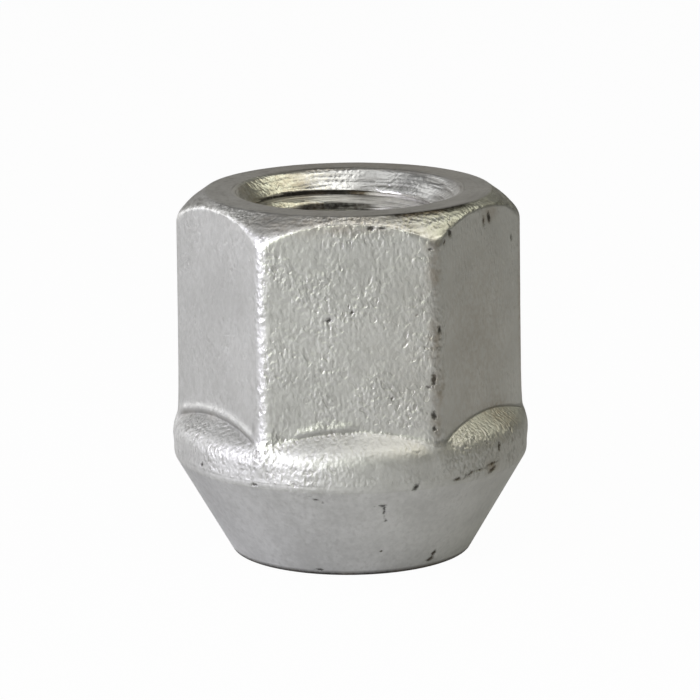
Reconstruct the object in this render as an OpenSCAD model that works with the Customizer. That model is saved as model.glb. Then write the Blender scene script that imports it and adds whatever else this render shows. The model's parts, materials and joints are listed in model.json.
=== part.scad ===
// Open-ended lug nut: a forged wrench hexagon rising out of a bulged collar,
// with a conical seat below and a threaded bore right through.
// Millimetres. The thread axis is Z, the small end of the seat rests on z = 0,
// and two corners of the hexagon lie on the X axis.

/* [Hexagon] */
// Width across two opposite flats, the wrench size
across_flats = 19; // [18:0.5:22]
// Radius left by the forging die on the six upright corners
corner_r = 1; // [0.4:0.1:1.6]
// Height from the small end of the seat to the top face
overall_h = 23; // [20:0.5:30]

/* [Crown] */
// How far the edge of the top face lies inside the flats
crown_inset = 0.55; // [0.3:0.05:0.8]
// Slope of the turned chamfer, measured down from the top face
crown_angle = 36; // [22:1:45]
// Radius that breaks the edge between the top face and the chamfer
crown_edge_r = 0.3; // [0.1:0.1:0.6]

/* [Collar] */
// How far the collar stands out past the rounded corners of the hexagon
collar_overhang = 0.34; // [0.1:0.02:0.8]
// Height of the collar between the seat and the foot of its sloping shoulder
collar_h = 2.15; // [1.8:0.05:3.6]
// Slope of the shoulder that climbs from the collar to the flats
shoulder_angle = 34; // [28:1:42]
// Radius of the bulge between the collar and its shoulder
shoulder_r = 1.6; // [0.6:0.1:1.8]
// Radius of the hollow where the shoulder runs into the middle of each flat
root_r = 0.8; // [0.3:0.1:0.9]
// How far inside the flats that hollow ends, so that flat and hollow cross
root_inset = 0.2; // [0.1:0.05:0.4]

/* [Seat] */
// Included angle of the conical seat
seat_angle = 60; // [50:1:90]
// Width of the small end outside the nominal thread diameter, on one side
foot_ring = 1.5; // [1.2:0.1:2]
// Radius on the edge of the small end
foot_edge_r = 0.3; // [0.2:0.1:0.8]
// Radius on the edge where the seat meets the collar
seat_edge_r = 0.8; // [0.3:0.1:1.2]

/* [Thread] */
// Nominal diameter of the stud thread
thread_d = 12; // [11:0.5:14]
// Pitch of the stud thread
thread_pitch = 1.5; // [1.25:0.05:1.75]
// Cut the helical groove, or leave the bore plain at the minor diameter
cut_thread = false; // [true, false]
// How far the upper countersink opens past the nominal diameter, on one side
upper_sink = 1.1; // [0.4:0.1:1.1]
// How far the lower countersink opens past the nominal diameter, on one side
lower_sink = 0.4; // [0.2:0.1:0.6]
// Included angle of both countersinks
sink_angle = 90; // [80:5:120]

/* [Hidden] */
$fn = 128;
arc_steps = 8;
turn_steps = 20;
clear = 1;

// Radius at the rounded corners of the hexagon
corner_reach = across_flats / sqrt(3) - corner_r * (2 / sqrt(3) - 1);
crown_r = across_flats / 2 - crown_inset;
collar_r = corner_reach + collar_overhang;
foot_r = thread_d / 2 + foot_ring;
seat_h = (collar_r - foot_r) / tan(seat_angle / 2);
shoulder_z = seat_h + collar_h;

root_x = across_flats / 2 - root_inset;
root_z = shoulder_z + (collar_r - root_x) * tan(shoulder_angle);
core_z = root_z + 2 * root_r;

// Minor diameter of a 60 degree thread form
bore_r = thread_d / 2 - 0.54127 * thread_pitch;
upper_sink_r = thread_d / 2 + upper_sink;
lower_sink_r = thread_d / 2 + lower_sink;
sink_tan = tan(sink_angle / 2);

// Section of the thread groove, from just inside the open bore to the nominal diameter
groove_in_r = bore_r - 0.2;
groove_root = thread_pitch / 16;
groove_mouth = groove_root + (thread_d / 2 - groove_in_r) * tan(30);
// Depth of the first groove below the top face, at the back of the bore
groove_drop = 1.4;

function unit(v) = v / norm(v);

function around(centre, r, from, sweep) =
    [for (i = [0:arc_steps])
        centre + r * [cos(from + sweep * i / arc_steps), sin(from + sweep * i / arc_steps)]];

// Arc of radius r that rounds the corner b between its neighbours a and c
function rounding(a, b, c, r) =
    let (
        u = unit(a - b),
        w = unit(c - b),
        half = acos(u * w) / 2,
        centre = b + unit(u + w) * r / sin(half),
        start = b + u * r / tan(half) - centre,
        turn = cross(u, w) < 0 ? 1 : -1
    )
    around(centre, r, atan2(start.y, start.x), turn * (180 - 2 * half));

// Outline through the corners, each given as [x, y, radius]
function outline(corners) =
    let (n = len(corners), p = [for (k = corners) [k.x, k.y]])
    [for (i = [0:n - 1])
        each corners[i].z > 0
            ? rounding(p[(i + n - 1) % n], p[i], p[(i + 1) % n], corners[i].z)
            : [p[i]]];

// Conical seat, collar, bulged shoulder and the hollow at the foot of the flats
module seat_and_collar() {
    rotate_extrude()
        polygon(outline([
            [0, 0, 0],
            [foot_r, 0, foot_edge_r],
            [collar_r, seat_h, seat_edge_r],
            [collar_r, shoulder_z, shoulder_r],
            [root_x, root_z, root_r],
            [root_x, core_z, 0],
            [0, core_z, 0]
        ]));
}

// Hexagonal prism that starts inside the collar
module hexagon_bar() {
    tip = across_flats / sqrt(3);
    start_z = seat_h + collar_h / 2;
    translate([0, 0, start_z])
        linear_extrude(height = overall_h - start_z + clear)
            polygon(outline([for (i = [0:5]) [tip * cos(60 * i), tip * sin(60 * i), corner_r]]));
}

// Body of revolution that turns the chamfer on the six corners
module crown_turning() {
    out_r = collar_r + clear;
    rotate_extrude()
        polygon(outline([
            [0, 0, 0],
            [out_r, 0, 0],
            [out_r, overall_h - (out_r - crown_r) * tan(crown_angle), 0],
            [crown_r, overall_h, crown_edge_r],
            [0, overall_h, 0]
        ]));
}

// Hexagon with its chamfered crown
module wrench_hexagon() {
    intersection() {
        hexagon_bar();
        crown_turning();
    }
}

// Through bore at the minor diameter, opened by a countersink at both ends
module stud_bore() {
    translate([0, 0, -clear])
        cylinder(r = bore_r, h = overall_h + 2 * clear);
    upper_h = (upper_sink_r - bore_r) / sink_tan;
    translate([0, 0, overall_h - upper_h])
        cylinder(r1 = bore_r, r2 = upper_sink_r + clear * sink_tan, h = upper_h + clear);
    lower_h = (lower_sink_r - bore_r) / sink_tan;
    translate([0, 0, -clear])
        cylinder(r1 = lower_sink_r + clear * sink_tan, r2 = bore_r, h = lower_h + clear);
}

// Right-hand helical groove, swept from below the foot to above the top face
module thread_groove() {
    section = [
        [groove_in_r, -groove_mouth],
        [thread_d / 2, -groove_root],
        [thread_d / 2, groove_root],
        [groove_in_r, groove_mouth]
    ];
    n = len(section);
    turns = ceil((overall_h + 2 * clear) / thread_pitch);
    rings = turns * turn_steps;
    top_z = overall_h - groove_drop + 1.75 * thread_pitch;
    points = [for (i = [0:rings])
        let (turn = i / turn_steps, z = top_z - thread_pitch * (turns - turn))
        each [for (p = section) [p.x * cos(360 * turn), p.x * sin(360 * turn), z + p.y]]];
    sides = [for (i = [0:rings - 1])
        each [for (k = [0:n - 1])
            let (a = i * n + k, b = i * n + (k + 1) % n)
            each [[a, b + n, a + n], [a, b, b + n]]]];
    last = rings * n;
    ends = [[2, 1, 0], [3, 2, 0], [last, last + 1, last + 2], [last, last + 2, last + 3]];
    polyhedron(points, concat(sides, ends));
}

// Forged and turned body with its plain bore
module drilled_forging() {
    difference() {
        union() {
            seat_and_collar();
            wrench_hexagon();
        }
        stud_bore();
    }
}

// Whole nut, one piece of forged steel
module lug_nut() {
    color([0.68, 0.68, 0.67])
        difference() {
            drilled_forging();
            if (cut_thread) thread_groove();
        }
}

lug_nut();
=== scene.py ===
"""Looks of an open-ended lug nut: forged steel with a satin zinc coat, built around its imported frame."""

import json
import logging
import math
from dataclasses import dataclass, field
from enum import Enum
from typing import Iterable, Optional, Sequence, Union

import bmesh
import bpy
import numpy as np
from mathutils import Euler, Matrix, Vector

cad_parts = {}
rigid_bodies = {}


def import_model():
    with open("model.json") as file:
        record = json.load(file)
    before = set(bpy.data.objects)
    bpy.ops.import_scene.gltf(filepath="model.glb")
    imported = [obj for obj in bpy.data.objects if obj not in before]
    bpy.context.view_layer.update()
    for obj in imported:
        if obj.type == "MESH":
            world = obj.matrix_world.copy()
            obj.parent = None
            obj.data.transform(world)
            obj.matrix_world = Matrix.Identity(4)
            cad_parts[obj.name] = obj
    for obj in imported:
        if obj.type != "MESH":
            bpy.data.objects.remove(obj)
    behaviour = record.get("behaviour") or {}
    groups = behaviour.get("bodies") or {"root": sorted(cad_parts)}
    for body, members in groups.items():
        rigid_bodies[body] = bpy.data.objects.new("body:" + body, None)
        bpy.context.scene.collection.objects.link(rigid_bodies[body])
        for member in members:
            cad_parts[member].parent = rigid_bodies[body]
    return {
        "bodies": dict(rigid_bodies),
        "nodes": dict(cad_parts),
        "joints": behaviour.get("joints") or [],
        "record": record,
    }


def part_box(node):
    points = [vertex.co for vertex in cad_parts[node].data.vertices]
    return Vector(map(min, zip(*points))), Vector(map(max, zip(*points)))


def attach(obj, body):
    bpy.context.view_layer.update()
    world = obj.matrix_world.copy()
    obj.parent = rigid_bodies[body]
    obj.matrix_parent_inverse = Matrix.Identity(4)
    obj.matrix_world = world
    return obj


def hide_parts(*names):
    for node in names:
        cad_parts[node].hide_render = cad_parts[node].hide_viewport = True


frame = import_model()

LOG = logging.getLogger("lug_nut")
MM = 0.001
NODE = "lug_nut"
BODY = "root"
# Vertices that lie closer than this, in metres, are merged
MERGE = 2e-6
# Depth of a 60 degree thread form, as a share of its pitch
THREAD_DEPTH = 0.54127
# Angle between two corners of the hexagon
SIXTH = math.radians(60)
# Angles of the flat that faces the camera and of the opposite one, in degrees
FRONT, BACK = -90.0, 90.0
# Values painted on the vertices, which the relief and the materials read; edge marks where a highlight is
# painted
PAINTED = ("nick", "soil", "edge", "stain", "forged")

Socket = bpy.types.NodeSocket
Outputs = bpy.types.bpy_prop_collection
Colour = tuple[float, float, float]
Pair = tuple[float, float]
Spans = Sequence[tuple[float, float, float]]
Level = Union[float, np.ndarray]
Field = Union[Socket, float]


class Zone(Enum):
    """Surfaces of the nut that were made in different ways, in the order of their material slots."""

    SEAT = 0
    COLLAR = 1
    FORGED = 2
    CROWN = 3
    RING = 4
    TURNED = 5
    THREAD = 6


class Ray(Enum):
    """Kinds of ray that see the floor as the white background."""

    CAMERA = "Is Camera Ray"
    GLOSSY = "Is Glossy Ray"
    TRANSMISSION = "Is Transmission Ray"


class NodeSheet:
    """Adds and links the nodes of one tree, so that formulas read as calls."""

    def __init__(self, tree: bpy.types.NodeTree) -> None:
        """Keeps the tree that receives the nodes."""
        self.tree = tree

    def add(self, kind: str, **settings: object) -> bpy.types.Node:
        """Adds one node.

        Args:
            kind: Blender's name for the node type.
            settings: Properties to set on the new node.

        Returns:
            The new node.
        """
        node = self.tree.nodes.new(kind)
        for name, value in settings.items():
            setattr(node, name, value)
        return node

    def feed(self, target: Socket, value: object) -> None:
        """Links a socket into an input, or sets a constant on it.

        Args:
            target: Input socket.
            value: Output socket or constant.
        """
        if isinstance(value, Socket):
            self.tree.links.new(value, target)
        else:
            target.default_value = value

    def fed(self, kind: str, values: dict[str, object], **settings: object) -> Outputs:
        """Adds one node and feeds its named inputs.

        Args:
            kind: Blender's name for the node type.
            values: Output socket or constant for each input.
            settings: Properties to set on the new node.

        Returns:
            The node's outputs.
        """
        node = self.add(kind, **settings)
        for name, value in values.items():
            self.feed(node.inputs[name], value)
        return node.outputs

    def math(self, operation: str, *terms: Field, clamp: bool = False) -> Socket:
        """Adds a Math node.

        Args:
            operation: Blender's name for the operation.
            terms: Its operands, sockets or numbers.
            clamp: Whether the result is held between 0 and 1.

        Returns:
            The node's result.
        """
        node = self.add("ShaderNodeMath", operation=operation, use_clamp=clamp)
        for target, term in zip(node.inputs, terms):
            self.feed(target, term)
        return node.outputs[0]

    def vector(self, operation: str, *terms: object) -> Socket:
        """Adds a Vector Math node.

        Args:
            operation: Blender's name for the operation.
            terms: Its operands, sockets or constants. The second one of SCALE is the factor.

        Returns:
            The node's result.
        """
        node = self.add("ShaderNodeVectorMath", operation=operation)
        targets = (node.inputs[0], node.inputs["Scale"]) if operation == "SCALE" else node.inputs
        for target, term in zip(targets, terms):
            self.feed(target, term)
        return node.outputs["Value" if operation == "LENGTH" else "Vector"]

    def noise(self, place: Socket, scale: Field, detail: float, roughness: float = 0.5) -> Socket:
        """Adds a three-dimensional noise.

        Args:
            place: Where the noise is read.
            scale: Repeats for each unit of the place.
            detail: Number of finer octaves.
            roughness: Weight of the finer octaves.

        Returns:
            The noise, between 0 and 1.
        """
        values = {"Vector": place, "Scale": scale, "Detail": detail, "Roughness": roughness}
        return self.fed("ShaderNodeTexNoise", values, noise_dimensions="3D")["Fac"]

    def smooth_step(self, value: Socket, low: Field, high: Field) -> Socket:
        """Adds a smooth ramp from 0 at low to 1 at high, where low may be the larger.

        Args:
            value: Value to ramp.
            low: Where the ramp starts.
            high: Where the ramp ends.

        Returns:
            The ramp's value.
        """
        values = {"Value": value, "From Min": low, "From Max": high}
        return self.fed("ShaderNodeMapRange", values, interpolation_type="SMOOTHSTEP")["Result"]

    def blend(self, factor: Socket, first: object, second: object) -> Socket:
        """Mixes two colours.

        Args:
            factor: Share of the second colour.
            first: Colour at 0.
            second: Colour at 1.

        Returns:
            The mixed colour.
        """
        node = self.add("ShaderNodeMix", data_type="RGBA")
        self.feed(node.inputs["Factor"], factor)
        colours = [socket for socket in node.inputs if socket.type == "RGBA"]
        for target, value in zip(colours, (first, second)):
            self.feed(target, value if isinstance(value, Socket) else (*value, 1.0))
        return next(socket for socket in node.outputs if socket.type == "RGBA")

    def painted(self, name: str) -> Socket:
        """Reads a value painted on the mesh, in a material."""
        return self.add("ShaderNodeAttribute", attribute_name=name).outputs["Fac"]

    def stored(self, name: str, kind: str) -> Socket:
        """Reads a value stored on the mesh, in a geometry tree."""
        return self.fed("GeometryNodeInputNamedAttribute", {"Name": name}, data_type=kind)["Attribute"]


def declare(tree: bpy.types.NodeTree, sockets: dict[str, str], in_out: str = "INPUT") -> None:
    """Args:
        tree: Node group.
        sockets: Kind of each socket, such as Float or Material.
        in_out: INPUT or OUTPUT.
    """
    for name, kind in sockets.items():
        tree.interface.new_socket(name=name, in_out=in_out, socket_type="NodeSocket" + kind)


def run_tree(tree: bpy.types.NodeTree, values: dict[str, object], seed: bpy.types.Mesh,
             name: str) -> bpy.types.Mesh:
    """Runs a geometry tree on a mesh and returns the result as a plain mesh.

    Args:
        tree: Geometry node tree.
        values: Value of each named input.
        seed: Mesh that the modifier sits on.
        name: Name of the new mesh.

    Returns:
        The evaluated mesh, with no modifier.
    """
    holder = bpy.data.objects.new(name + "_holder", seed)
    bpy.context.scene.collection.objects.link(holder)
    modifier = holder.modifiers.new(name, "NODES")
    modifier.node_group = tree
    for item in tree.interface.items_tree:
        if item.item_type == "SOCKET" and item.in_out == "INPUT" and item.name in values:
            modifier[item.identifier] = values[item.name]
    evaluated = holder.evaluated_get(bpy.context.evaluated_depsgraph_get())
    mesh = bpy.data.meshes.new_from_object(evaluated)
    mesh.name = name
    holder.modifiers.remove(modifier)
    bpy.data.objects.remove(holder)
    return mesh


@dataclass(frozen=True)
class NutSizes:
    """Sizes of the nut in millimetres and degrees, in the frame of the solids."""

    overall_h: float
    minor_r: float
    across_flats: float = 19.0
    corner_r: float = 1.0
    crown_inset: float = 0.55
    crown_angle: float = 36.0
    crown_edge_r: float = 0.3
    collar_overhang: float = 0.34
    collar_h: float = 2.15
    shoulder_angle: float = 34.0
    shoulder_r: float = 1.6
    root_inset: float = 0.2
    seat_angle: float = 60.0
    foot_r: float = 7.5
    foot_edge_r: float = 0.3
    seat_edge_r: float = 0.8
    pitch: float = 1.5
    upper_sink_r: float = 7.1
    upper_lip_r: float = 0.5
    lower_sink_r: float = 6.4
    lower_break: float = 0.05

    @classmethod
    def from_frame(cls, packed: dict) -> "NutSizes":
        """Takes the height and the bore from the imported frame.


        Returns:
            The sizes.
        """
        low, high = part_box(NODE)
        bore = next(m for m in packed["record"]["mounts"] if m["name"] == "stud_thread")
        return cls(overall_h=(high[2] - low[2]) / MM, minor_r=bore["dims"]["r_mm"])

    @property
    def flat_r(self) -> float:
        """Distance from the axis to a flat."""
        return self.across_flats / 2

    @property
    def corner_reach(self) -> float:
        """Distance from the axis to a rounded corner."""
        return self.across_flats / math.sqrt(3) - self.corner_r * (2 / math.sqrt(3) - 1)

    @property
    def collar_r(self) -> float:
        """Radius of the collar."""
        return self.corner_reach + self.collar_overhang

    @property
    def crown_r(self) -> float:
        """Radius where the crown chamfer meets the top face."""
        return self.flat_r - self.crown_inset

    @property
    def seat_h(self) -> float:
        """Height where the cone meets the collar."""
        return (self.collar_r - self.foot_r) / math.tan(math.radians(self.seat_angle / 2))

    @property
    def major_r(self) -> float:
        """Radius at the root of the thread groove."""
        return self.minor_r + THREAD_DEPTH * self.pitch

    @property
    def upper_break(self) -> float:
        """How far below the top face the rounded lip runs into the countersink, which slopes 45 degrees."""
        slope = math.radians(45)
        return self.upper_lip_r * math.tan(slope / 2) * math.sin(slope)

    def sink_radius(self, height: np.ndarray) -> np.ndarray:
        """Radius of the nearer countersink at a height, drawn on past its end."""
        return np.maximum(self.upper_sink_r - (self.overall_h - height), self.lower_sink_r - height)


def rounded_outline(corners: Sequence[tuple[float, float, float]], steps: int) -> np.ndarray:
    """Rounds the inner corners of an open outline.

    Args:
        corners: Points as (radius, height, rounding).
        steps: Segments of each arc.

    Returns:
        Points of the outline, one row each.
    """
    points = [np.array(corners[0][:2])]
    for before, corner, after in zip(corners, corners[1:], corners[2:]):
        here = np.array(corner[:2])
        back = np.array(before[:2]) - here
        ahead = np.array(after[:2]) - here
        back /= np.linalg.norm(back)
        ahead /= np.linalg.norm(ahead)
        half = math.acos(float(back @ ahead)) / 2
        centre = here + (back + ahead) / np.linalg.norm(back + ahead) * corner[2] / math.sin(half)
        first = here + back * corner[2] / math.tan(half) - centre
        last = here + ahead * corner[2] / math.tan(half) - centre
        sweep = math.pi - 2 * half
        for share in np.linspace(0, 1, steps + 1):
            spoke = first * math.sin((1 - share) * sweep) + last * math.sin(share * sweep)
            points.append(centre + spoke / math.sin(sweep))
    points.append(np.array(corners[-1][:2]))
    return np.array(points)


def smooth_max(first: np.ndarray, second: np.ndarray, width: np.ndarray) -> np.ndarray:
    """Larger of two fields, with the crease between them rounded.

    Args:
        first: One field.
        second: The other field.
        width: Difference over which the crease is rounded.

    Returns:
        The blended field.
    """
    gap = np.clip(width - np.abs(first - second), 0.0, None)
    return np.maximum(first, second) + gap**2 / (4 * width)


def ramp(value: np.ndarray, low: float, high: float) -> np.ndarray:
    """Smooth ramp from 0 at low to 1 at high."""
    share = np.clip((value - low) / (high - low), 0.0, 1.0)
    return share * share * (3 - 2 * share)


def bell(off: np.ndarray, half: Level) -> np.ndarray:
    """Bell curve that is 1 where off is 0 and falls away past its half width."""
    return np.exp(-((off / half) ** 2))


def wrapped(angle: np.ndarray) -> np.ndarray:
    """The same angle in degrees, brought between -180 and 180."""
    return (angle + 180) % 360 - 180


def span_strength(bearing: np.ndarray, spans: Spans, soft: float) -> np.ndarray:
    """Strength of something that is found on some bearings only.

    Args:
        bearing: Bearings in degrees.
        spans: Each as first bearing, last bearing and strength.
        soft: Degrees over which a span fades out.

    Returns:
        Strength at each bearing.
    """
    return sum(strength * ramp(bearing, low - soft, low) * (1 - ramp(bearing, high, high + soft))
               for low, high, strength in spans)


@dataclass(frozen=True)
class Mark:
    """A mark on the coat: its bearing from the front flat, its height, its half sizes and its lean.

    Lengths are in millimetres and angles in degrees. A positive lean tips the length to the left.
    """

    bearing: float
    height: float
    width: float = 0.15
    length: float = 0.15
    lean: float = 0.0


@dataclass(frozen=True)
class Nick(Mark):
    """A pit or nick in the coat."""

    depth: float = 0.05


@dataclass(frozen=True)
class StainAndShade(Mark):
    """A soft patch of brown film, which on the right corners, lobes and flat is partly painted shade and
    dark reflection.
    """

    share: float = 1.0


FRONT_NICKS = (
    Nick(-7.7, 16.6, 0.19, 0.13, -12.0, 0.07),
    Nick(1.5, 17.1, 0.09, 0.11, 8.0, 0.04),
    Nick(0.4, 17.5, 0.05, 0.12, 30.0, 0.02),
    Nick(15.5, 11.7, 0.08, 0.08, 0.0, 0.04),
    Nick(23.5, 17.0, 0.07, 0.09, 0.0, 0.03),
)
CORNER_NICKS = (
    Nick(27.7, 20.9, 0.14, 0.1),
    Nick(30.4, 16.0, 0.12, 0.26, 6.0),
    Nick(28.4, 13.0, 0.16, 0.4, -6.0),
    Nick(27.2, 12.4, 0.24, 0.06, -10.0, 0.03),
    Nick(28.4, 10.7, 0.15, 0.3, 10.0),
    Nick(28.9, 9.8, 0.12, 0.16),
)
CROWN_NICKS = (
    Nick(8.8, 22.36, 0.18, 0.13),
    Nick(12.0, 22.3, 0.2, 0.08),
    Nick(33.5, 21.3, 0.12, 0.16, -30.0, 0.06),
    Nick(37.3, 21.75, 0.26, 0.2, -40.0, 0.06),
    Nick(62.0, 21.6, 0.11, 0.34, 14.0, 0.06),
    Nick(66.0, 21.9, 0.2, 0.36, 20.0, 0.06),
    Nick(82.5, 20.0, 0.1, 0.22),
)
COLLAR_NICKS = (
    Nick(55.8, 7.8, 0.14, 0.32, -14.0, 0.08),
    Nick(51.5, 6.98, 0.45, 0.08, 0.0, 0.03),
    Nick(52.0, 6.6, 0.32, 0.12, 20.0),
    Nick(36.4, 6.5, 0.09, 0.3, -90.0, 0.03),
    Nick(40.6, 6.62, 0.07, 0.3, -72.0, 0.02),
    Nick(44.4, 6.74, 0.05, 0.5, -88.0, 0.02),
    Nick(21.0, 6.4, 0.15, 0.26, -35.0, 0.06),
    Nick(-55.7, 6.9, 0.11, 0.16, -8.0),
    Nick(-32.5, 6.4, 0.18, 0.1),
)
SEAT_NICKS = (
    Nick(10.6, 5.25, 0.3, 0.06, 8.0, 0.02),
    Nick(11.2, 4.8, 0.08, 0.3, 10.0, 0.03),
    Nick(12.5, 4.0, 0.09, 0.07, 0.0, 0.03),
    Nick(39.2, 1.05, 0.18, 0.24, -15.0),
    Nick(38.2, 0.5, 0.28, 0.12),
    Nick(11.9, 1.7, 0.06, 0.06, 0.0, 0.03),
    Nick(-11.5, 5.75, 0.06, 0.5, 62.0, 0.02),
    Nick(-15.8, 0.4, 0.24, 0.1),
)
NICKS = FRONT_NICKS + CORNER_NICKS + CROWN_NICKS + COLLAR_NICKS + SEAT_NICKS
# Patches of brown film, partly painted shade and dark reflection, mostly on the right side and the crown
STAINS_AND_SHADE = (
    StainAndShade(29.5, 19.4, 0.5, 1.6),
    StainAndShade(29.5, 15.4, 0.5, 1.8),
    StainAndShade(31.0, 12.2, 0.6, 1.6),
    StainAndShade(29.0, 10.0, 0.4, 1.0),
    StainAndShade(29.5, 21.2, 0.6, 0.4),
    StainAndShade(51.9, 6.78, 0.8, 0.55),
    StainAndShade(66.0, 22.0, 1.2, 0.6),
    StainAndShade(67.0, 9.5, 2.3, 1.2),
    StainAndShade(89.0, 16.0, 0.5, 6.0),
    StainAndShade(56.0, 14.0, 6.0, 8.0, share=0.6),
    StainAndShade(178.0, 23.0, 8.0, 0.5, share=0.7),
    StainAndShade(-6.0, 22.5, 5.0, 0.6, share=0.8),
)


@dataclass(frozen=True)
class StudThread:
    """Threaded bore between its two countersinks, made by a node tree as one helical grid."""

    sizes: NutSizes
    columns: int = 120
    steps_a_pitch: int = 16
    groove_below_top: float = 1.4
    # Half of the groove's root and the width of its flank, as shares of the pitch
    root_half: float = 1 / 16
    flank: float = 5 / 16

    def tree(self) -> bpy.types.NodeTree:
        """Builds the node tree of the bore.

        Returns:
            The tree, with its sizes as named inputs.
        """
        tree = bpy.data.node_groups.new("Stud Thread", "GeometryNodeTree")
        sheet = NodeSheet(tree)
        numbers = ("Minor Radius", "Major Radius", "Pitch", "Low", "High", "Upper Sink", "Lower Sink",
                   "Groove Height", "Turns", "Turns Below")
        declare(tree, dict.fromkeys(numbers, "Float"))
        declare(tree, {"Columns": "Int", "Rows": "Int", "Finish": "Material"})
        declare(tree, {"Mesh": "Geometry"}, "OUTPUT")
        given = sheet.add("NodeGroupInput").outputs
        grid = sheet.fed("GeometryNodeMeshGrid", {
            "Size X": 1.0,
            "Size Y": 1.0,
            "Vertices X": sheet.math("ADD", given["Columns"], 1.0),
            "Vertices Y": sheet.math("ADD", given["Rows"], 1.0),
        })
        flat = sheet.add("GeometryNodeInputPosition").outputs[0]
        place = sheet.fed("ShaderNodeSeparateXYZ", {"Vector": flat})
        turn = sheet.math("ADD", place["X"], 0.5)
        climb = sheet.math("MULTIPLY", sheet.math("ADD", place["Y"], 0.5), given["Turns"])
        climb = sheet.math("ADD", sheet.math("SUBTRACT", climb, given["Turns Below"]), turn)
        height = sheet.math("MULTIPLY_ADD", climb, given["Pitch"], given["Groove Height"])
        height = sheet.math("MINIMUM", sheet.math("MAXIMUM", height, given["Low"]), given["High"])
        along = sheet.math("SUBTRACT", height, given["Groove Height"])
        along = sheet.math("SUBTRACT", sheet.math("DIVIDE", along, given["Pitch"]), turn)
        off_groove = sheet.math("ABSOLUTE", sheet.math("SUBTRACT", along, sheet.math("ROUND", along)))
        rise = sheet.math("SUBTRACT", off_groove, self.root_half)
        rise = sheet.math("DIVIDE", rise, self.flank, clamp=True)
        depth = sheet.math("SUBTRACT", given["Major Radius"], given["Minor Radius"])
        radius = sheet.math("SUBTRACT", given["Major Radius"], sheet.math("MULTIPLY", rise, depth))
        upper = sheet.math("SUBTRACT", given["Upper Sink"], sheet.math("SUBTRACT", given["High"], height))
        lower = sheet.math("SUBTRACT", given["Lower Sink"], sheet.math("SUBTRACT", height, given["Low"]))
        radius = sheet.math("MAXIMUM", radius, sheet.math("MAXIMUM", upper, lower))
        angle = sheet.math("MULTIPLY", turn, math.tau)
        point = sheet.fed("ShaderNodeCombineXYZ", {
            "X": sheet.math("MULTIPLY", radius, sheet.math("COSINE", angle)),
            "Y": sheet.math("MULTIPLY", radius, sheet.math("SINE", angle)),
            "Z": height,
        })[0]
        placed = sheet.fed("GeometryNodeSetPosition", {"Geometry": grid["Mesh"], "Position": point})[0]
        merged = sheet.fed("GeometryNodeMergeByDistance", {"Geometry": placed, "Distance": MERGE})[0]
        real = sheet.fed("GeometryNodeRealizeInstances", {"Geometry": merged})[0]
        dressed = sheet.fed("GeometryNodeSetMaterial", {"Geometry": real, "Material": given["Finish"]})[0]
        sheet.fed("NodeGroupOutput", {"Mesh": dressed})
        return tree

    def build(self, finish: bpy.types.Material) -> bpy.types.Mesh:
        """Runs the tree and keeps its result as a plain mesh.

        Args:
            finish: Material of the thread.

        Returns:
            Mesh of the bore, open at both ends.
        """
        s = self.sizes
        high = s.overall_h - s.upper_break
        # The groove is measured at the back, a quarter turn on from the first column
        groove_h = s.overall_h - self.groove_below_top - s.pitch / 4
        # A turn more than the height needs, because each row climbs by a pitch on its way round
        below = math.ceil(groove_h / s.pitch) + 1
        turns = below + math.ceil((high - groove_h) / s.pitch)
        values = {
            "Minor Radius": s.minor_r * MM,
            "Major Radius": s.major_r * MM,
            "Pitch": s.pitch * MM,
            "Low": s.lower_break * MM,
            "High": high * MM,
            "Upper Sink": (s.upper_sink_r - s.upper_break) * MM,
            "Lower Sink": (s.lower_sink_r - s.lower_break) * MM,
            "Groove Height": groove_h * MM,
            "Turns": float(turns),
            "Turns Below": float(below),
            "Columns": self.columns,
            "Rows": turns * self.steps_a_pitch,
            "Finish": finish,
        }
        return run_tree(self.tree(), values, bpy.data.meshes.new("bore_seed"), "bore")


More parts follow.
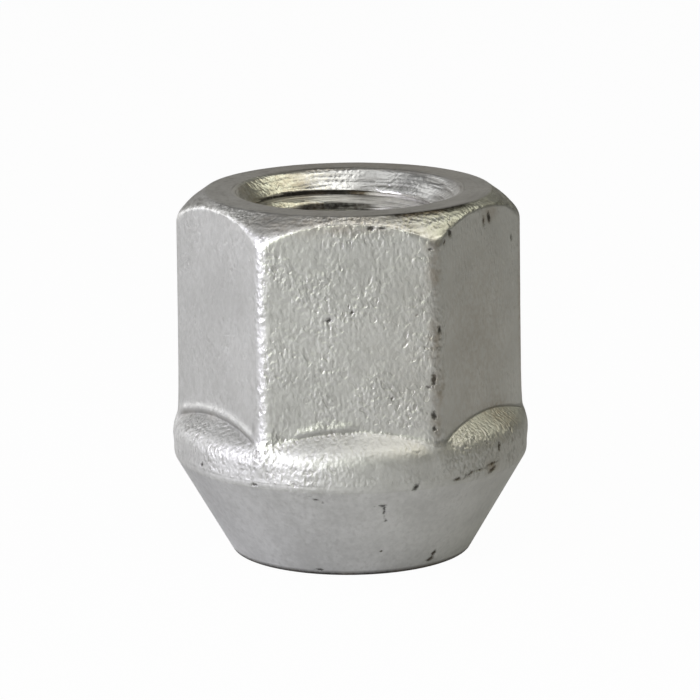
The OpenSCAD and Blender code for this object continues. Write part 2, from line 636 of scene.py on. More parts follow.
@dataclass
class Skin:
    """Vertices, faces and painted values of the nut while it is put together."""

    points: list[np.ndarray] = field(default_factory=list)
    faces: list[tuple[int, ...]] = field(default_factory=list)
    zones: list[int] = field(default_factory=list)
    painted: dict[str, list[np.ndarray]] = field(default_factory=lambda: {name: [] for name in PAINTED})
    count: int = 0

    def add_points(self, points: np.ndarray, **painted: np.ndarray) -> int:
        """Adds vertices with their painted values.

        Args:
            points: Places in millimetres.
            painted: Values of nick (distance inside the nearest nick, in millimetres), the painted shade
                (in
            hollows and at the foot), edge (closeness to the crown's edge, where a highlight is painted),
            the brown film (partly painted shade) and forged (share of the forged relief). Those left out
            are 0.

        Returns:
            Number of the first new vertex.
        """
        first = self.count
        self.points.append(points)
        for name, values in self.painted.items():
            values.append(painted.get(name, np.zeros(len(points))))
        self.count += len(points)
        return first

    def add_face(self, corners: tuple[int, ...], zone: Zone) -> None:
        """Adds one face to a zone, by the numbers of its vertices."""
        self.faces.append(corners)
        self.zones.append(zone.value)

    def zip_rings(self, one: np.ndarray, other: np.ndarray, zone: Zone) -> None:
        """Closes the strip between two rings with triangles.

        Args:
            one: Vertex numbers of a ring.
            other: Vertex numbers of the other ring.
            zone: Surface of the strip.
        """
        points = np.vstack(self.points)
        loops = []
        for ring in (one, other):
            angle = np.arctan2(points[ring, 1], points[ring, 0])
            order = np.argsort(angle)
            loops.append((ring[order], angle[order]))
        (first, turn_a), (second, turn_b) = loops
        i = j = 0
        while i < len(first) or j < len(second):
            next_a = turn_a[i + 1] if i + 1 < len(first) else turn_a[0] + math.tau
            next_b = turn_b[j + 1] if j + 1 < len(second) else turn_b[0] + math.tau
            here_a = first[i % len(first)]
            here_b = second[j % len(second)]
            if j >= len(second) or (i < len(first) and next_a <= next_b):
                self.add_face((here_a, first[(i + 1) % len(first)], here_b), zone)
                i += 1
            else:
                self.add_face((here_a, second[(j + 1) % len(second)], here_b), zone)
                j += 1

    def mesh(self, name: str) -> bpy.types.Mesh:
        """Makes the closed mesh, with its zones and painted values as attributes.

        Args:
            name: Name of the mesh.

        Returns:
            The mesh in metres, with doubles merged and all faces turned outwards.
        """
        made = bpy.data.meshes.new(name)
        made.from_pydata(np.vstack(self.points) * MM, [], self.faces)
        made.attributes.new("zone", "INT", "FACE").data.foreach_set("value", self.zones)
        for painted, values in self.painted.items():
            attribute = made.attributes.new(painted, "FLOAT", "POINT")
            attribute.data.foreach_set("value", np.concatenate(values))
        work = bmesh.new()
        work.from_mesh(made)
        bmesh.ops.remove_doubles(work, verts=work.verts, dist=MERGE)
        bmesh.ops.recalc_face_normals(work, faces=work.faces)
        open_edges = sum(1 for edge in work.edges if not edge.is_manifold)
        LOG.info("nut mesh: %d faces, %d open edges", len(work.faces), open_edges)
        work.to_mesh(made)
        work.free()
        return made


@dataclass(frozen=True)
class Row:
    """One ring of vertices of the outer skin, with the zone of the faces above it and its relief."""

    radius: np.ndarray
    height: np.ndarray
    zone: Zone
    relief: float


@dataclass
class NutBody:
    """The whole nut as one closed mesh: seat, collar, hexagon, crown, top face and threaded bore.

    Lengths are in millimetres and angles in degrees. A pair is the two ends of a ramp, or a width on the
    flats and one on the corners. A span is a first bearing, a last bearing and a strength.
    """

    sizes: NutSizes

    # Columns and rows of the mesh
    corner_steps: int = 8
    flat_steps: int = 56
    arc_steps: int = 8
    edge_steps: int = 5
    corner_span: float = 2.9
    foot_rows: int = 3
    seat_rows: int = 25
    collar_rows: int = 23
    flat_rows: int = 58
    crown_rows: int = 9
    ring_rows: int = 6
    root_steps: tuple[float, ...] = (0.0, 0.08, 0.16, 0.25, 0.36, 0.52, 0.7)
    brow_steps: tuple[float, ...] = (-0.3, -0.2, -0.13, -0.08, -0.04)
    crown_steps: tuple[float, ...] = (0.0, 0.04, 0.08)
    edge_run: float = 1.0
    sharp_angle: float = 44.0

    # Draft, lean and soft edges that the forging die left
    corner_fade: float = 7.0
    root_blend: Pair = (0.28, 0.6)
    root_flare: float = 0.12
    flare_height: float = 1.1
    crown_blend: Pair = (0.22, 0.9)
    draft: float = 0.005
    collar_fade: Pair = (6.7, 7.6)
    shoulder_lean: float = 0.01

    # Lip and groove along the foot of some flats
    creases: Spans = ((-84.0, -36.0, 0.9), (-17.0, -1.0, 0.6))
    crease_soft: float = 5.0
    crease_half: float = 0.2
    crease_run_out: float = 0.5
    groove_depth: float = 0.11
    lip_out: float = 0.16
    lip_above: float = 0.32
    lip_half: float = 0.26
    lip_waves: Pair = (41.0, 97.0)
    lip_ragged: float = 0.12

    # Share of the forged relief
    foot_relief: float = 0.1
    seat_relief: float = 0.25
    edge_relief: float = 0.5
    forged_relief: float = 1.0
    crown_relief: float = 0.4
    turned_relief: float = 0.3
    smooth_flats: Spans = ((-90.0, -35.0, 0.5), (36.0, 90.0, 0.6))
    smooth_collar: Spans = ((2.0, 26.0, 0.6),)

    # Nicks
    nick_far: float = -0.6
    nick_wall: float = 1.3

    # Dirt, film and worn edges of the outside
    # Painted shade in creases, at the foot, round the top face and beside a corner, brown film that is
    # partly painted shade, and the painted highlight on the crown's edge, of the outside
    soft: float = 12.0
    crease_shade: float = 0.5
    shade_above: float = 0.04
    shade_half: float = 0.25
    # Painted contact shade along the foot's outer edge: the heights it fades over and the radii where it
    # starts
    foot_shade: Pair = (0.08, 0.36)
    foot_rim: Pair = (7.1, 7.4)
    # Painted shade along the crown's edge round the top face, on some bearings
    shaded_rings: Spans = ((20.0, 50.0, 1.0), (-180.0, -130.0, 0.25), (130.0, 180.0, 0.25))
    ring_out: float = 0.1
    ring_half: float = 0.24
    ring_below_top: Pair = (0.6, 0.4)
    # Painted shade in the hollows on both sides of a corner's foot
    shaded_flanks: Spans = ((-34.4, -33.6, 0.3), (-26.4, -25.8, 0.35))
    flank_soft: float = 0.8
    flank_start: Pair = (-0.3, 0.1)
    flank_end: Pair = (0.5, 2.0)
    # Bearings where the crown's rim gets no painted highlight, and the half width of that highlight
    rims_without_highlight: Spans = ((-8.0, 14.0, 0.6), (38.0, 75.0, 0.8))
    rim_half: float = 0.16

    # Painted shade in the bore's grooves and on its crests, and brown film that is partly painted shade, on
    # bearings from the back
    groove_shade: Pair = (5.78, 5.96)
    groove_shade_spans: Spans = ((-95.0, -5.0, 0.35), (-5.0, 95.0, 1.0))
    crest_shade: Pair = (0.02, 0.15)
    crest_shade_spans: Spans = ((-12.0, 30.0, 0.85),)
    sink_film_and_shade: Spans = ((30.0, 80.0, 0.8),)
    sink_slack: float = 0.02
    face_slack: float = 0.03
    level_slack: float = 1e-4

    def __post_init__(self) -> None:
        """Works out the columns and the turned outline."""
        s = self.sizes
        self.angles = self.column_angles()
        self.bearings = wrapped(np.degrees(self.angles) - FRONT)
        self.hexagon = self.hexagon_radius()
        self.near_corner = bell(np.degrees(self.off_corner()), self.corner_fade)
        self.outline = self.turned_outline()
        # The shoulder follows the first point and the arcs on the edges of the foot and of the seat
        shoulder = self.outline[1 + 2 * (self.arc_steps + 1):]
        self.root = np.interp(-self.hexagon, -shoulder[:, 0], shoulder[:, 1])
        self.lift = self.shoulder_lean * self.hexagon * np.cos(self.angles)
        self.drop = math.tan(math.radians(s.crown_angle))
        self.brow = s.overall_h - (self.hexagon - s.crown_r) * self.drop

    def column_angles(self) -> np.ndarray:
        """Angles of the mesh columns, closer together on the six corners.

        Returns:
            Angles in radians, from the first corner round to it again.
        """
        span = math.radians(self.corner_span)
        corner = np.linspace(-span, span, self.corner_steps, endpoint=False)
        edge = math.tan(SIXTH / 2 - span)
        across = np.linspace(-edge, edge, self.flat_steps, endpoint=False)
        sector = np.concatenate([corner, SIXTH / 2 + np.arctan(across)])
        return np.concatenate([sector + SIXTH * turn for turn in range(6)])

    def off_corner(self) -> np.ndarray:
        """Angle of each column from the nearest corner, in radians."""
        return (self.angles + SIXTH / 2) % SIXTH - SIXTH / 2

    def hexagon_radius(self) -> np.ndarray:
        """Radius of the hexagon with rounded corners.

        Returns:
            Radius at each column.
        """
        s = self.sizes
        off = self.off_corner()
        flat = s.flat_r / np.cos(SIXTH / 2 - np.abs(off))
        centre = (s.across_flats - 2 * s.corner_r) / math.sqrt(3)
        inside = np.clip(s.corner_r**2 - (centre * np.sin(off)) ** 2, 0.0, None)
        rounded = centre * np.cos(off) + np.sqrt(inside)
        tangent = math.atan2(s.corner_r / 2, centre + s.corner_r * math.cos(SIXTH / 2))
        return np.where(np.abs(off) < tangent, rounded, flat)

    def turned_outline(self) -> np.ndarray:
        """Outline of the seat, the collar and its shoulder, from the foot to inside the flats.

        Returns:
            Points as radius and height.
        """
        s = self.sizes
        shoulder_z = s.seat_h + s.collar_h
        inner = s.flat_r - s.root_inset
        inner_z = shoulder_z + (s.collar_r - inner) * math.tan(math.radians(s.shoulder_angle))
        return rounded_outline([
            (s.lower_sink_r, 0.0, 0.0),
            (s.foot_r, 0.0, s.foot_edge_r),
            (s.collar_r, s.seat_h, s.seat_edge_r),
            (s.collar_r, shoulder_z, s.shoulder_r),
            (inner, inner_z, 0.0),
        ], self.arc_steps)

    def turned_radius(self, height: np.ndarray) -> np.ndarray:
        """Radius of the turned outline at a height, without the two points on the flat foot."""
        rising = self.outline[2:]
        return np.interp(height, rising[:, 1], rising[:, 0])

    def side_radius(self, height: np.ndarray) -> np.ndarray:
        """Radius of the collar, flats and crown together.

        Args:
            height: Height of each column's vertex.

        Returns:
            Radius of each column's vertex.
        """
        s = self.sizes
        fade = ramp(height, *self.collar_fade)
        turned = self.turned_radius(height - self.lift * fade)
        above = np.clip(height - self.lift - self.root, 0.0, None)
        flare = self.root_flare * self.near_corner * np.exp(-above / self.flare_height)
        hexagon = self.hexagon - self.draft * (height - self.root) + flare
        body = smooth_max(turned, hexagon, self.widened(self.root_blend))
        body = turned + (body - turned) * fade + self.die_lip(height)
        crown = s.crown_r + (s.overall_h - height) / self.drop
        return -smooth_max(-body, -crown, self.widened(self.crown_blend))

    def die_lip(self, height: np.ndarray) -> np.ndarray:
        """Ragged lip and groove that the die left along the foot of some flats.

        The groove is steep above and runs out on the collar.

        Args:
            height: Height of each column's vertex.

        Returns:
            How far each vertex stands out, below 0 in the groove.
        """
        above = height - self.root - self.lift
        lip = self.lip_out * bell(above - self.lip_above, self.lip_half)
        off = above + self.crease_half / 2
        groove = self.groove_depth * bell(off, np.where(off < 0, self.crease_run_out, self.crease_half))
        ragged = 1 + self.lip_ragged * sum(np.sin(wave * self.angles) for wave in self.lip_waves)
        return (lip * ragged - groove) * self.on_bearings(self.creases, self.crease_soft)

    def on_bearings(self, spans: Spans, soft: float) -> np.ndarray:
        """Strength at each column of something that is found on some bearings only."""
        return span_strength(self.bearings, spans, soft)

    def widened(self, widths: Pair) -> np.ndarray:
        """Width of a rounded edge at each column, from that on the flats to that on the corners."""
        return widths[0] + (widths[1] - widths[0]) * self.near_corner

    def turned_rows(self, points: Iterable[Sequence[float]], zone: Zone, relief: float) -> list[Row]:
        """Round rows, one through each point of an outline.

        Args:
            points: Each as radius and height.
            zone: Surface above the rows.
            relief: Share of the forged relief.

        Returns:
            The rows.
        """
        ones = np.ones_like(self.angles)
        return [Row(radius * ones, height * ones, zone, relief) for radius, height in points]

    def side_rows(self, heights: Iterable[np.ndarray], zone: Zone) -> list[Row]:
        """Rows of the collar, flats or crown.

        Args:
            heights: Heights of each row's vertices.
            zone: Surface above the rows.

        Returns:
            The rows.
        """
        relief = self.crown_relief if zone is Zone.CROWN else self.forged_relief
        return [Row(self.side_radius(height), height, zone, relief) for height in heights]

    @staticmethod
    def climb(start: Level, stop: Level, count: int) -> list[np.ndarray]:
        """Heights of evenly spaced rows above start, the last of them at stop."""
        return [start + (stop - start) * share for share in np.linspace(0, 1, count + 1)[1:]]

    def rows(self) -> list[Row]:
        """Rows of the outer skin, from the lower countersink to the upper one.

        Returns:
            The rows.
        """
        s = self.sizes
        arc = self.arc_steps + 1
        foot = self.outline[1:arc + 1]
        edge = self.outline[arc + 1:2 * arc + 1]
        inner = (s.lower_sink_r + s.lower_break, 0.0)
        found = self.turned_rows(np.linspace(inner, foot[0], self.foot_rows + 1)[:-1], Zone.SEAT, 0.0)
        found += self.turned_rows(foot, Zone.SEAT, self.foot_relief)
        seat = np.linspace(foot[-1], edge[0], self.seat_rows + 2)[1:-1]
        found += self.turned_rows(seat, Zone.SEAT, self.seat_relief)
        found += self.turned_rows(edge, Zone.COLLAR, self.edge_relief)
        root = self.root + self.lift
        brow = self.brow
        found += self.side_rows(self.climb(edge[-1][1], root, self.collar_rows + 1)[:-1], Zone.COLLAR)
        found += self.side_rows([root + step for step in self.root_steps], Zone.FORGED)
        flat = self.climb(root + self.root_steps[-1], brow + self.brow_steps[0], self.flat_rows)
        found += self.side_rows(flat, Zone.FORGED)
        found += self.side_rows([brow + step for step in self.brow_steps[1:]], Zone.FORGED)
        found += self.side_rows([brow + step for step in self.crown_steps], Zone.CROWN)
        crown = rounded_outline([
            (s.crown_r + self.edge_run, s.overall_h - self.edge_run * self.drop, 0.0),
            (s.crown_r, s.overall_h, s.crown_edge_r),
            (s.upper_sink_r, s.overall_h, s.upper_lip_r),
            (s.upper_sink_r - self.edge_run, s.overall_h - self.edge_run, 0.0),
        ], self.edge_steps)
        # The chamfer ends at the first point of the edge's arc, and the lip's arc follows that arc
        chamfer = self.climb(brow + self.crown_steps[-1], crown[1][1], self.crown_rows)
        found += self.side_rows(chamfer, Zone.CROWN)
        lip = self.edge_steps + 2
        found += self.turned_rows(crown[2:lip], Zone.RING, self.turned_relief)
        ring = np.linspace(crown[lip - 1], crown[lip], self.ring_rows + 2)[1:-1]
        found += self.turned_rows(ring, Zone.RING, self.turned_relief)
        # The last point of the lip's arc is the upper end of the bore
        return found + self.turned_rows(crown[lip:-2], Zone.TURNED, self.turned_relief)

    def mark_reach(self, mark: Mark, radius: np.ndarray, height: np.ndarray) -> np.ndarray:
        """Distance from the middle of a nick or of a patch of film and painted shade, as a share of its
        size.

        Args:
            mark: Nick, or patch of film and painted shade.
            radius: Radii of the whole grid.
            height: Heights of the whole grid.

        Returns:
            0 in the middle and 1 on the rim.
        """
        across = np.radians(wrapped(self.bearings - mark.bearing)) * radius
        up = height - mark.height
        nearest = np.unravel_index(np.argmin(across**2 + up**2), radius.shape)
        across = across - across[nearest]
        up = up - up[nearest]
        lean = math.radians(mark.lean)
        side = across * math.cos(lean) + up * math.sin(lean)
        long = up * math.cos(lean) - across * math.sin(lean)
        return np.hypot(side / mark.width, long / mark.length)

    def nick_field(self, radius: np.ndarray, height: np.ndarray) -> tuple[np.ndarray, np.ndarray]:
        """Distance inside the nicks and how deep they cut.

        Args:
            radius: Radii of the whole grid.
            height: Heights of the whole grid.

        Returns:
            Distance inside the nearest nick and the depth cut at each vertex, both in millimetres.
        """
        inside = np.full(radius.shape, self.nick_far)
        cut = np.zeros(radius.shape)
        for nick in NICKS:
            reach = self.mark_reach(nick, radius, height)
            inside = np.maximum(inside, (1 - reach) * min(nick.width, nick.length))
            cut = np.maximum(cut, nick.depth * np.clip(self.nick_wall - reach, 0.0, 1.0))
        return inside, cut

    def stain_and_shade_field(self, radius: np.ndarray, height: np.ndarray) -> np.ndarray:
        """Share of the brown film at each vertex, which is partly painted shade.

        Args:
            radius: Radii of the whole grid.
            height: Heights of the whole grid.

        Returns:
            The share, between 0 and 1.
        """
        film_and_shade = np.zeros(radius.shape)
        for stain in STAINS_AND_SHADE:
            film_and_shade = np.maximum(film_and_shade, stain.share * bell(self.mark_reach(stain, radius, height), 1.0))
        return film_and_shade

    def soil_field(self, radius: np.ndarray, height: np.ndarray) -> np.ndarray:
        """Share of dirt at each vertex: in the creases, at the foot, round the top face and on flanks.

        Args:
            radius: Radii of the whole grid.
            height: Heights of the whole grid.

        Returns:
            The share, between 0 and 1.
        """
        s = self.sizes
        above = height - self.root - self.lift
        # Painted shade in the crease under the lip at the foot of some flats
        crease = bell(above - self.shade_above, self.shade_half) * self.crease_shade
        crease = crease * self.on_bearings(self.creases, self.crease_soft)
        # Painted contact shade along the outer edge of the foot
        foot = (1 - ramp(height, *self.foot_shade)) * ramp(radius, *self.foot_rim)
        # Painted shade along the crown's edge round the top face
        near_top = ramp(height, *(s.overall_h - below for below in self.ring_below_top))
        ring = bell(radius - s.crown_r - self.ring_out, self.ring_half) * near_top
        ring = ring * self.on_bearings(self.shaded_rings, self.soft)
        # Painted shade in the hollows on both sides of a corner's foot
        flank = ramp(above, *self.flank_start) * (1 - ramp(above, *self.flank_end))
        flank = flank * self.on_bearings(self.shaded_flanks, self.flank_soft)
        return np.maximum.reduce([crease, foot, ring, flank])

    def outer_skin(self, skin: Skin) -> tuple[np.ndarray, np.ndarray]:
        """Adds everything outside the two countersinks.

        Args:
            skin: Skin that receives the rows.

        Returns:
            Vertex numbers of the lowest and the highest ring.
        """
        rows = self.rows()
        radius = np.array([row.radius for row in rows])
        height = np.array([row.height for row in rows])
        nick, cut = self.nick_field(radius, height)
        radius = radius - cut
        soil = self.soil_field(radius, height)
        stain = self.stain_and_shade_field(radius, height)
        # Painted highlight along the crown's rounded edge, left off on some bearings
        painted_highlight = bell(height - self.brow, self.rim_half) * (1 - self.on_bearings(self.rims_without_highlight, self.soft))
        rough = {zone: np.ones_like(self.angles) for zone in Zone}
        rough[Zone.FORGED] -= self.on_bearings(self.smooth_flats, self.crease_soft)
        rough[Zone.COLLAR] -= self.on_bearings(self.smooth_collar, self.soft)
        columns = np.arange(len(self.angles))
        rings = []
        for index, row in enumerate(rows):
            points = np.column_stack([radius[index] * np.cos(self.angles),
                                      radius[index] * np.sin(self.angles), height[index]])
            first = skin.add_points(points, nick=nick[index], soil=soil[index], edge=painted_highlight[index],
                                    stain=stain[index], forged=row.relief * rough[row.zone])
            rings.append(first + columns)
        for below, above, row in zip(rings, rings[1:], rows):
            for here, after in zip(columns, np.roll(columns, -1)):
                skin.add_face((below[here], below[after], above[after], above[here]), row.zone)
        return rings[0], rings[-1]

    def bore_shade(self, radius: np.ndarray, from_back: np.ndarray, on_sink: np.ndarray) -> np.ndarray:
        """Share of painted shade in the thread's grooves and on some of its crests.

        Args:
            radius: Radius of each vertex.
            from_back: Bearing of each vertex from the back.
            on_sink: Whether each vertex lies on a countersink.

        Returns:
            The share at each vertex, between 0 and 1.
        """
        # Painted shade deep in the grooves, off the countersinks
        groove = np.where(on_sink, 0.0, ramp(radius, *self.groove_shade))
        groove = groove * np.minimum(span_strength(from_back, self.groove_shade_spans, self.soft), 1.0)
        # Painted shade on the crests' faces at the back
        crest = 1 - ramp(radius - self.sizes.minor_r, *self.crest_shade)
        return np.maximum(groove, crest * span_strength(from_back, self.crest_shade_spans, self.soft))

    def bore_skin(self, skin: Skin, mesh: bpy.types.Mesh) -> tuple[np.ndarray, np.ndarray]:
        """Adds the threaded bore.

        Args:
            skin: Skin that receives the bore.
            mesh: Mesh made by the thread's node tree.

        Returns:
            Vertex numbers of the lowest and the highest ring.
        """
        s = self.sizes
        points = np.empty(3 * len(mesh.vertices))
        mesh.vertices.foreach_get("co", points)
        points = points.reshape(-1, 3) / MM
        height = points[:, 2]
        radius = np.hypot(points[:, 0], points[:, 1])
        sink = s.sink_radius(height)
        on_sink = radius < sink + self.sink_slack
        from_back = wrapped(np.degrees(np.arctan2(points[:, 1], points[:, 0])) - BACK)
        first = skin.add_points(points, nick=np.full(len(points), self.nick_far),
                                soil=self.bore_shade(radius, from_back, on_sink),
                                stain=span_strength(from_back, self.sink_film_and_shade, self.soft),
                                forged=np.where(on_sink, self.turned_relief, 0.0))
        lower_foot = s.lower_sink_r - s.minor_r
        upper_foot = s.overall_h - (s.upper_sink_r - s.minor_r)
        for polygon in mesh.polygons:
            corners = list(polygon.vertices)
            turned = radius[corners].mean() < sink[corners].mean() + self.face_slack
            turned = turned and not lower_foot < height[corners].mean() < upper_foot
            skin.add_face(tuple(first + v for v in corners), Zone.TURNED if turned else Zone.THREAD)
        low, high = (first + np.flatnonzero(np.abs(height - level) < self.level_slack)
                     for level in (s.lower_break, s.overall_h - s.upper_break))
        return low, high

    def build(self, finishes: dict[Zone, bpy.types.Material]) -> bpy.types.Object:
        """Puts the nut together and gives it its finishes.

        Args:
            finishes: Material of each zone.

        Returns:
            The finished piece.
        """
        skin = Skin()
        low_out, high_out = self.outer_skin(skin)
        bore = StudThread(self.sizes).build(finishes[Zone.THREAD])
        low_in, high_in = self.bore_skin(skin, bore)
        skin.zip_rings(low_out, low_in, Zone.SEAT)
        skin.zip_rings(high_out, high_in, Zone.TURNED)
        mesh = ForgedRelief().press(skin.mesh("lug_nut_seed"), finishes)
        mesh.shade_smooth()
        mesh.set_sharp_from_angle(angle=math.radians(self.sharp_angle))
        piece = bpy.data.objects.new("lug_nut_body", mesh)
        bpy.context.scene.collection.objects.link(piece)
        return piece


@dataclass(frozen=True)
class ForgedRelief:
    """Uneven skin that the forging die left, pressed into the mesh by a node tree."""

    dent_size: float = 2.6
    dent_depth: float = 0.05
    grain_size: float = 0.75
    grain_depth: float = 0.035
    detail: float = 1.0
    stretch: float = 0.55
    seed: float = 4.2

    def tree(self) -> bpy.types.NodeTree:
        """Builds the tree that moves the forged surfaces along their normals and dresses each zone.

        Returns:
            The tree, with its sizes and the material of each zone as named inputs.
        """
        tree = bpy.data.node_groups.new("Forged Relief", "GeometryNodeTree")
        sheet = NodeSheet(tree)
        declare(tree, {"Geometry": "Geometry"})
        numbers = ("Dent Size", "Dent Depth", "Grain Size", "Grain Depth", "Seed")
        declare(tree, dict.fromkeys(numbers, "Float"))
        declare(tree, {zone.name.title(): "Material" for zone in Zone})
        declare(tree, {"Geometry": "Geometry"}, "OUTPUT")
        given = sheet.add("NodeGroupInput").outputs
        position = sheet.add("GeometryNodeInputPosition").outputs[0]
        drawn = sheet.vector("MULTIPLY", position, (1.0, 1.0, self.stretch))
        place = sheet.vector("ADD", drawn, given["Seed"])
        lift: Field = 0.0
        for kind in ("Dent", "Grain"):
            scale = sheet.math("DIVIDE", 1.0, given[kind + " Size"])
            wave = sheet.math("SUBTRACT", sheet.noise(place, scale, self.detail), 0.5)
            lift = sheet.math("ADD", lift, sheet.math("MULTIPLY", wave, given[kind + " Depth"]))
        lift = sheet.math("MULTIPLY", lift, sheet.stored("forged", "FLOAT"))
        offset = sheet.vector("SCALE", sheet.add("GeometryNodeInputNormal").outputs[0], lift)
        moved = sheet.fed("GeometryNodeSetPosition", {"Geometry": given["Geometry"], "Offset": offset})[0]
        dressed = sheet.fed("GeometryNodeRealizeInstances", {"Geometry": moved})[0]
        zone_of = sheet.stored("zone", "INT")
        for zone in Zone:
            same = sheet.add("FunctionNodeCompare", data_type="INT", operation="EQUAL")
            terms = [socket for socket in same.inputs if socket.type == "INT"]
            for target, term in zip(terms, (zone_of, zone.value)):
                sheet.feed(target, term)
            dressed = sheet.fed("GeometryNodeSetMaterial", {
                "Geometry": dressed,
                "Selection": same.outputs["Result"],
                "Material": given[zone.name.title()],
            })[0]
        sheet.fed("NodeGroupOutput", {"Geometry": dressed})
        return tree

    def press(self, mesh: bpy.types.Mesh, finishes: dict[Zone, bpy.types.Material]) -> bpy.types.Mesh:
        """Runs the tree on the smooth nut.

        Args:
            mesh: Smooth nut, with the attributes forged and zone.
            finishes: Material of each zone.

        Returns:
            The uneven nut, dressed.
        """
        values: dict[str, object] = {zone.name.title(): finishes[zone] for zone in Zone}
        values |= {
            "Dent Size": self.dent_size * MM,
            "Dent Depth": self.dent_depth * MM,
            "Grain Size": self.grain_size * MM,
            "Grain Depth": self.grain_depth * MM,
            "Seed": self.seed,
        }
        return run_tree(self.tree(), values, mesh, "lug_nut")


class CoatGroups:
    """Shader groups that the finishes share."""

    # Noises, each as its scale, detail and roughness. The lines are scaled by their spacing, the rest
    # in repeats for each metre.
    CLOUD = (260.0, 3.0, 0.5)
    FLECK = (2600.0, 2.0, 0.6)
    GRAIN = (4500.0, 0.7, 0.5)
    POCK = (3000.0, 0.0, 0.5)
    PATCH = (500.0, 1.0, 0.5)
    LINE = (1.0, 1.6, 0.5)
    RAGGED = (4200.0, 3.0, 0.6)
    SPECK = (2300.0, 1.0, 0.5)
    RUST = (420.0, 1.0, 0.5)
    # Ramps, each as where it starts and where it ends
    POCK_RAMP = (0.36, 0.26)
    HOLLOW_RAMP = (0.47, 0.27)
    PATCH_RAMP = (0.35, 0.65)
    NICK_RAMP = (-0.07, 0.09)
    RUST_RAMP = (0.48, 0.64)
    # Stretch, depths and shares
    GRAIN_DRAWN = (1.0, 1.0, 0.72)
    POCK_DEPTH = 0.22
    PATCH_LEAST = 0.4
    RAGGED_MIDDLE = 0.47
    RAGGED_NICK = 0.28
    RAGGED_SHADE = 0.9
    NICK_STRENGTH = 0.92
    SPECK_SOFT = 0.06

    def __init__(self) -> None:
        """Builds each group once."""
        self.mottle = self.mottle_group()
        self.grain = self.grain_group()
        self.lines = self.lines_group()
        self.marks = self.marks_group()

    @staticmethod
    def new_group(name: str, numbers: Sequence[str], outputs: Sequence[str]) -> tuple[NodeSheet, Outputs]:
        """Starts a shader group that reads a place and some numbers.

        Args:
            name: Name of the group.
            numbers: Names of its inputs besides the place, Vector.
            outputs: Names of its values.

        Returns:
            Sheet of the new group and the sockets of its inputs.
        """
        tree = bpy.data.node_groups.new(name, "ShaderNodeTree")
        declare(tree, {"Vector": "Vector", **dict.fromkeys(numbers, "Float")})
        declare(tree, dict.fromkeys(outputs, "Float"), "OUTPUT")
        sheet = NodeSheet(tree)
        return sheet, sheet.add("NodeGroupInput").outputs

    def mottle_group(self) -> bpy.types.NodeTree:
        """Cloudy variation of the zinc coat, coarse and fine.

        Returns:
            The group.
        """
        sheet, given = self.new_group("zinc mottle", (), ("Cloud", "Fleck"))
        sheet.fed("NodeGroupOutput", {
            "Cloud": sheet.noise(given["Vector"], *self.CLOUD),
            "Fleck": sheet.noise(given["Vector"], *self.FLECK),
        })
        return sheet.tree

    def grain_group(self) -> bpy.types.NodeTree:
        """Fine orange-peel grain of a forged and coated face, drawn out along the axis.

        Returns:
            The group.
        """
        sheet, given = self.new_group("forged grain", ("Share",), ("Height", "Hollow"))
        drawn = sheet.vector("MULTIPLY", given["Vector"], self.GRAIN_DRAWN)
        grain = sheet.noise(drawn, *self.GRAIN)
        pock = sheet.smooth_step(sheet.noise(drawn, *self.POCK), *self.POCK_RAMP)
        patch = sheet.smooth_step(sheet.noise(given["Vector"], *self.PATCH), *self.PATCH_RAMP)
        patch = sheet.math("MULTIPLY_ADD", patch, 1 - self.PATCH_LEAST, self.PATCH_LEAST)
        share = sheet.math("MULTIPLY", patch, given["Share"])
        height = sheet.math("MULTIPLY_ADD", pock, -self.POCK_DEPTH, grain)
        hollow = sheet.math("MAXIMUM", pock, sheet.smooth_step(grain, *self.HOLLOW_RAMP))
        sheet.fed("NodeGroupOutput", {
            "Height": sheet.math("MULTIPLY", height, share),
            "Hollow": sheet.math("MULTIPLY", hollow, share),
        })
        return sheet.tree

    def lines_group(self) -> bpy.types.NodeTree:
        """Broken concentric lines of a turning tool.

        Returns:
            The group.
        """
        sheet, given = self.new_group("turning lines", ("Spacing", "Breaks", "Rise"), ("Height",))
        flat = sheet.vector("MULTIPLY", given["Vector"], (1.0, 1.0, 0.0))
        around = sheet.vector("SCALE", sheet.vector("NORMALIZE", flat), given["Breaks"])
        height = sheet.fed("ShaderNodeSeparateXYZ", {"Vector": given["Vector"]})["Z"]
        reach = sheet.math("MULTIPLY_ADD", height, given["Rise"], sheet.vector("LENGTH", flat))
        across = sheet.fed("ShaderNodeCombineXYZ", {"Z": sheet.math("DIVIDE", reach, given["Spacing"])})[0]
        streak = sheet.noise(sheet.vector("ADD", around, across), *self.LINE)
        sheet.fed("NodeGroupOutput", {"Height": streak})
        return sheet.tree

    def marks_group(self) -> bpy.types.NodeTree:
        """Dark pits and painted shade: the nicks, the shade painted on the mesh, and fine specks scattered
        by a noise.

        Returns:
            The group.
        """
        sheet, given = self.new_group("pits", ("Nick", "Soil", "Speck Level"), ("Pit", "Painted Shade", "Rust"))
        place = given["Vector"]
        ragged = sheet.math("SUBTRACT", sheet.noise(place, *self.RAGGED), self.RAGGED_MIDDLE)
        nick = sheet.math("MULTIPLY_ADD", ragged, self.RAGGED_NICK, given["Nick"])
        nick = sheet.math("MULTIPLY", sheet.smooth_step(nick, *self.NICK_RAMP), self.NICK_STRENGTH)
        level = given["Speck Level"]
        speck = sheet.noise(place, *self.SPECK)
        speck = sheet.smooth_step(speck, level, sheet.math("ADD", level, self.SPECK_SOFT))
        patchy = sheet.math("MULTIPLY_ADD", ragged, self.RAGGED_SHADE, 1.0)
        sheet.fed("NodeGroupOutput", {
            "Pit": sheet.math("MAXIMUM", nick, speck),
            "Painted Shade": sheet.math("MULTIPLY", given["Soil"], patchy, clamp=True),
            "Rust": sheet.smooth_step(sheet.noise(place, *self.RUST), *self.RUST_RAMP),
        })
        return sheet.tree


